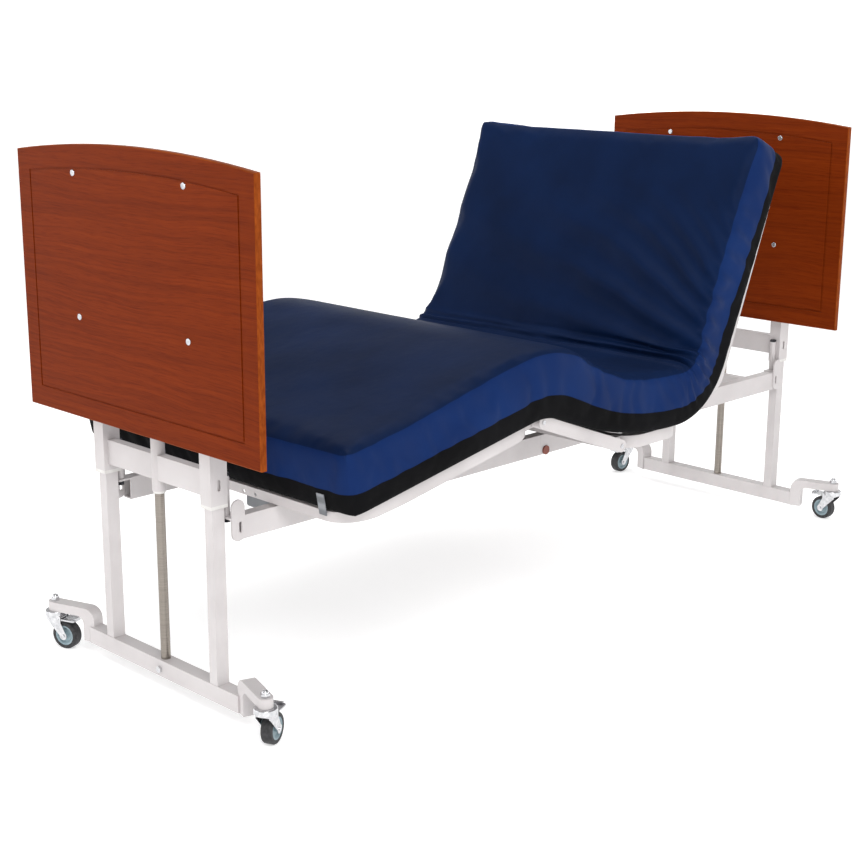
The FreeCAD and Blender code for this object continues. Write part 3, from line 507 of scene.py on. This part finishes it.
def cover_folds():
    from_fold = along - back_fold_at
    side = np.abs(across) / pad_half
    slow, quick = wander(3.1, 4.0), wander(9.0, 11.0)
    on_top = smooth(height, 0.06, pad_thick)
    from_near = (across + pad_half) / (2 * pad_half)
    near = 1 - 0.8 * smooth(from_near, 0.2, 0.85)
    fan = from_fold / (0.065 + 0.13 * from_near)
    fan_room = smooth(from_fold, -0.05, 0.05) * (1 - smooth(from_fold, 0.28, 0.66)) * near
    sweep = crease(fan + 0.45 * slow + 0.10 * quick) * fan_room * sweep_height
    roll_room = np.exp(-(from_fold / 0.07) ** 2)
    rolls = crease(from_fold / 0.075 + 0.5 * slow + 0.4 * from_near) * roll_room * roll_height
    crush_room = np.exp(-((from_fold - 0.02) / 0.13) ** 2) * smooth(side, 0.72, 0.98)
    crush = crease(from_fold / 0.043 + 0.9 * quick + 1.1 * slow + 6.0 * height)
    crush *= crush_room * near * crush_height
    level = 0.0022 * slow + 0.0010 * quick
    upright = smooth(side, 0.965, 0.995)
    ripples = crease(along / 0.075 + 1.1 * slow + 0.8 * quick + 5 * height) * upright * near * ripple_height
    base = 1 - smooth(height, 0.03, base_cover + 0.01)
    on_side = smooth(height, 0.01, 0.05) * (1 - 0.6 * base)
    return (sweep + rolls + level) * on_top + (crush + ripples) * on_side


coordinates = coordinates + pad_normals() * cover_folds()[:, None]
pad_mesh.vertices.foreach_set("co", coordinates.ravel())
pad_mesh.update()


def settle_cover(frames=16, limit=0.010):
    """Lets the cover settle over the foam as cloth: held by its base, a little too large, blown out."""
    held = pad.vertex_groups.new(name="held")
    hold = 1 - smooth(height, 0.008, 0.03)
    for vertex, weight in enumerate(hold):
        if weight > 0.01:
            held.add([vertex], float(weight), "REPLACE")
    cloth = pad.modifiers.new("cover", "CLOTH")
    settings = cloth.settings
    settings.quality = 5
    settings.mass = 0.3
    settings.tension_stiffness = 30
    settings.compression_stiffness = 30
    settings.shear_stiffness = 12
    settings.bending_stiffness = 1.2
    settings.shrink_min = -0.025
    settings.use_pressure = True
    settings.uniform_pressure_force = 2.0
    settings.vertex_group_mass = "held"
    settings.effector_weights.gravity = 0
    scene = bpy.context.scene
    for number in range(1, frames + 1):
        scene.frame_set(number)
    shape = pad.evaluated_get(bpy.context.evaluated_depsgraph_get())
    settled = np.zeros(len(pad_mesh.vertices) * 3)
    shape.data.vertices.foreach_get("co", settled)
    moved = settled.reshape(-1, 3) - coordinates
    distance = np.linalg.norm(moved, axis=1, keepdims=True)
    capped = coordinates + moved * (limit * np.tanh(distance / limit) / np.maximum(distance, 1e-9))
    pad.modifiers.clear()
    pad.vertex_groups.clear()
    scene.frame_set(1)
    pad_mesh.vertices.foreach_set("co", capped.ravel())
    pad_mesh.update()


settle_cover()
pad_mesh.polygons.foreach_set("use_smooth", [True] * len(pad_mesh.polygons))
subdivision = pad.modifiers.new("round", "SUBSURF")
subdivision.levels = 1


def cover_cloth(name, dark, light, roughness, sheen, thread=0.0022):
    """Knitted cloth with a polyurethane face. The threads are drawn coarser than real, so they show."""
    material, tree, shader = new_material(name, dark, roughness, **{"Sheen Weight": sheen,
                                                                   "Specular IOR Level": 0.05})
    spot = place(tree)
    knit = add_node(tree, "TexNoise", {"Vector": spot, "Scale": 1 / thread, "Detail": 1.0})
    shade = add_node(tree, "TexNoise", {"Vector": spot, "Scale": 5.0, "Detail": 4.0})
    crumple = add_node(tree, "TexNoise", {"Vector": spot, "Scale": 22.0, "Detail": 3.0})
    tint = ramp(tree, shade.outputs["Fac"], [(0.3, dark), (0.7, light)])
    tree.links.new(tint, shader.inputs["Base Color"])
    fine = add_node(tree, "Bump", {"Height": knit.outputs["Fac"], "Distance": 0.0002, "Strength": 0.5})
    soft = add_node(tree, "Bump", {"Height": crumple.outputs["Fac"], "Distance": 0.004, "Strength": 0.25,
                                   "Normal": fine.outputs[0]})
    tree.links.new(soft.outputs[0], shader.inputs["Normal"])
    return material


navy_cover = cover_cloth("navy_coated_knit", "#081835", "#0b1e40", 0.55, 0.0)
royal_cover = cover_cloth("royal_coated_knit", "#0e234f", "#112a5a", 0.55, 0.0)
black_cover = cover_cloth("black_nonslip_cloth", "#0b0b0c", "#111113", 0.8, 0.0)
for material in (navy_cover, royal_cover, black_cover):
    pad_mesh.materials.append(material)
shaped = bpy.data.meshes.new_from_object(pad.evaluated_get(bpy.context.evaluated_depsgraph_get()))
bpy.data.objects.remove(pad)


def split_at(corner, distance, angle):
    """A cutting plane across the pad, at a distance along a section from one of its corners."""
    spot = corner + heading(angle) * distance
    direction = heading(angle)
    return np.array([spot.x, 0, spot.y]), np.array([direction.x, 0, direction.y])


thigh_cut = split_at(knee_corner, 0.150, thigh_slope)
seat_cut = split_at(thigh_corner, 0.166, 0.0)


def mattress_part(name, keep_after=None, keep_before=None):
    """The stretch of the shaped pad between two cutting planes."""
    work = bmesh.new()
    work.from_mesh(shaped)
    for cut, clear_inner in ((keep_after, True), (keep_before, False)):
        if cut is None:
            continue
        bmesh.ops.bisect_plane(work, geom=work.verts[:] + work.edges[:] + work.faces[:], plane_co=cut[0],
                               plane_no=cut[1], clear_inner=clear_inner, clear_outer=not clear_inner)
    mesh = bpy.data.meshes.new(name)
    work.to_mesh(mesh)
    work.free()
    for material in (navy_cover, royal_cover, black_cover):
        mesh.materials.append(material)
    mesh.polygons.foreach_set("use_smooth", [True] * len(mesh.polygons))
    piece = bpy.data.objects.new(name, mesh)
    bpy.context.scene.collection.objects.link(piece)
    return piece


def bend_over(piece):
    """Bakes a part of the mattress's transform into its mesh."""
    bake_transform(piece)


mattress_lower = mattress_part("mattress_lower", keep_before=thigh_cut)
mattress_middle = mattress_part("mattress_middle", keep_after=thigh_cut, keep_before=seat_cut)
mattress_upper = mattress_part("mattress_upper", keep_after=seat_cut)
bend_over(mattress_lower)
bend_over(mattress_middle)
bend_over(mattress_upper)
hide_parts("mattress_foot")
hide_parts("mattress_thigh", "mattress_seat")
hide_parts("mattress_back")

# ---- Corner straps ----------------------------------------------------------
# Short loops of woven polyester webbing that tie the mattress to the foot bar.
webbing, tree, shader = new_material("grey_polyester_webbing", "#6f7277", 0.8, **{"Sheen Weight": 0.3})
rib_pitch = 0.003
ribs = add_node(tree, "TexWave", {"Vector": place(tree), "Scale": 1 / rib_pitch / 6.283, "Distortion": 0.6})
webbing_tint = ramp(tree, ribs.outputs["Fac"], [(0.2, "#5e6166"), (0.8, "#83868b")])
tree.links.new(webbing_tint, shader.inputs["Base Color"])
bump(tree, shader, ribs.outputs["Fac"], 0.0003, 0.6)
finish_nodes("strap_webbing", webbing)
